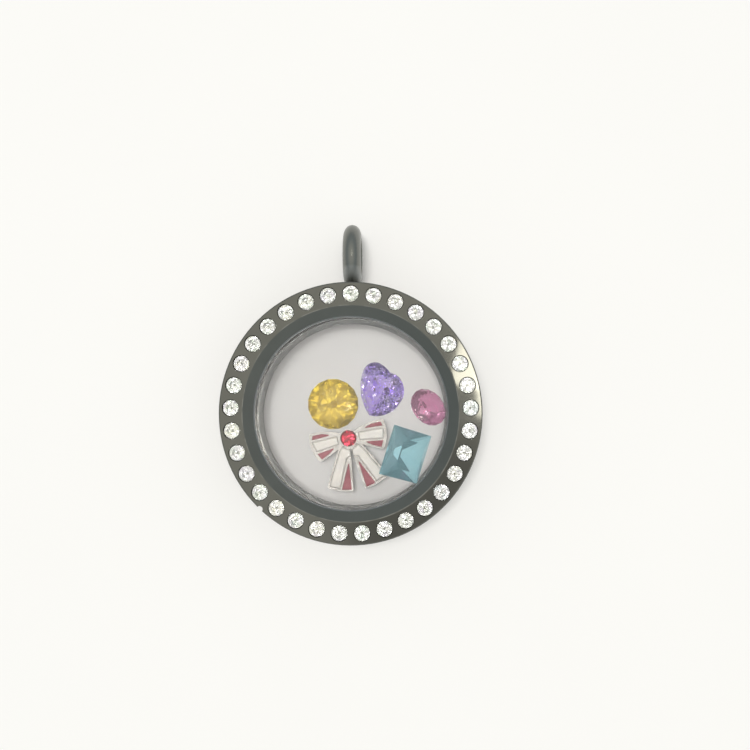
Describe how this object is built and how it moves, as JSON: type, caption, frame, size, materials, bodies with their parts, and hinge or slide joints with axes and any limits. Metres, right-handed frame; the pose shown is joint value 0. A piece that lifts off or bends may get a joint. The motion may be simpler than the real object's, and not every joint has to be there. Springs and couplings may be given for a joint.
{
  "type": "floating locket",
  "caption": "Round hinged locket with glass front and back, a ring of small stones in its rim, a fixed ring bail, and loose crystals and a bow charm inside.",
  "frame": {"origin": "middle of the back face that the locket lies on", "axes": "+Z out of the front glass, +Y from the middle of the locket to the bail"},
  "size_m": [0.025, 0.0311, 0.0071],
  "materials": {
    "black_steel": "polished black plating on steel",
    "window_glass": "clear polished glass",
    "pin_steel": "plain steel",
    "magnet": "nickel plated",
    "clear_crystal": "cut and polished, clear",
    "yellow_crystal": "cut and polished, yellow",
    "purple_crystal": "cut and polished, purple",
    "pink_crystal": "cut and polished, pink",
    "blue_crystal": "cut and polished, pale blue",
    "red_crystal": "cut and polished, red",
    "silver_metal": "polished silver plating",
    "white_enamel": "glossy hard enamel",
    "rose_enamel": "glossy hard enamel"
  },
  "bodies": {
    "case": {"case_frame": "black_steel", "back_glass": "window_glass", "hinge_pin": "pin_steel", "case_magnet": "magnet", "round_crystal": "yellow_crystal", "heart_crystal": "purple_crystal", "small_crystal": "pink_crystal", "square_crystal": "blue_crystal", "bow_charm": "silver_metal", "white_enamel_left_loop": "white_enamel", "white_enamel_right_loop": "white_enamel", "white_enamel_left_tail": "white_enamel", "white_enamel_right_tail": "white_enamel", "rose_enamel_left_loop_top": "rose_enamel", "rose_enamel_right_loop_top": "rose_enamel", "rose_enamel_left_loop_under": "rose_enamel", "rose_enamel_right_loop_under": "rose_enamel", "rose_enamel_left_tail": "rose_enamel", "rose_enamel_right_tail": "rose_enamel", "bow_stone": "red_crystal"},
    "lid": {"lid_frame": "black_steel", "front_glass": "window_glass", "lid_magnet": "magnet", "rim_stone_01": "clear_crystal", "rim_stone_02": "clear_crystal", "rim_stone_03": "clear_crystal", "rim_stone_04": "clear_crystal", "rim_stone_05": "clear_crystal", "rim_stone_06": "clear_crystal", "rim_stone_07": "clear_crystal", "rim_stone_08": "clear_crystal", "rim_stone_09": "clear_crystal", "rim_stone_10": "clear_crystal", "rim_stone_11": "clear_crystal", "rim_stone_12": "clear_crystal", "rim_stone_13": "clear_crystal", "rim_stone_14": "clear_crystal", "rim_stone_15": "clear_crystal", "rim_stone_16": "clear_crystal", "rim_stone_17": "clear_crystal", "rim_stone_18": "clear_crystal", "rim_stone_19": "clear_crystal", "rim_stone_20": "clear_crystal", "rim_stone_21": "clear_crystal", "rim_stone_22": "clear_crystal", "rim_stone_23": "clear_crystal", "rim_stone_24": "clear_crystal", "rim_stone_25": "clear_crystal", "rim_stone_26": "clear_crystal", "rim_stone_27": "clear_crystal", "rim_stone_28": "clear_crystal", "rim_stone_29": "clear_crystal", "rim_stone_30": "clear_crystal", "rim_stone_31": "clear_crystal", "rim_stone_32": "clear_crystal", "rim_stone_33": "clear_crystal"}
  },
  "joints": [
    {"name": "lid_hinge", "type": "hinge", "parent": "case", "child": "lid", "pos_m": [0.00814, 0.00854, 0.00352], "axis": [-0.7237, 0.6901, 0], "range_deg": [0, 140]}
  ]
}
